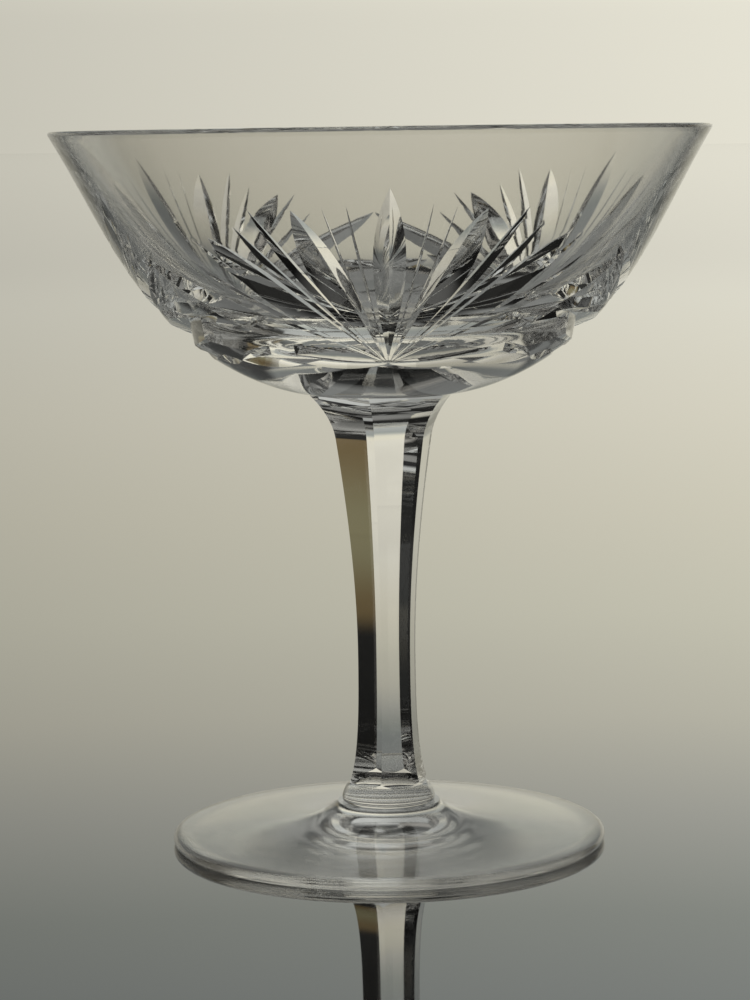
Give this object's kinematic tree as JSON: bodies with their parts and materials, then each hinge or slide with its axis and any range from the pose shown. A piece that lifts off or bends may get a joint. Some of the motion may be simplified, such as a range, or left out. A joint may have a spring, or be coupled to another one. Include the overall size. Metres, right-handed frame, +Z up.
{
  "type": "crystal sherbet glass",
  "caption": "Clear cut-crystal sherbet glass: a flared bowl with wheel-cut fans on a six-sided stem, a collar ring and a coned round foot.",
  "frame": {"origin": "centre of the foot on the plane that the glass stands on", "axes": "+Z up along the glass's axis, -Y towards the fan that faces the viewer, +X to the viewer's right"},
  "size_m": [0.1, 0.1, 0.1097],
  "materials": {
    "bowl_crystal": "clear polished crystal with polished wheel cuts",
    "stem_crystal": "clear polished crystal with flat-cut panels",
    "collar_crystal": "clear fire-polished crystal",
    "foot_crystal": "clear fire-polished crystal"
  },
  "bodies": {
    "root": {"bowl": "bowl_crystal", "stem": "stem_crystal", "collar": "collar_crystal", "foot": "foot_crystal"}
  },
  "joints": []
}
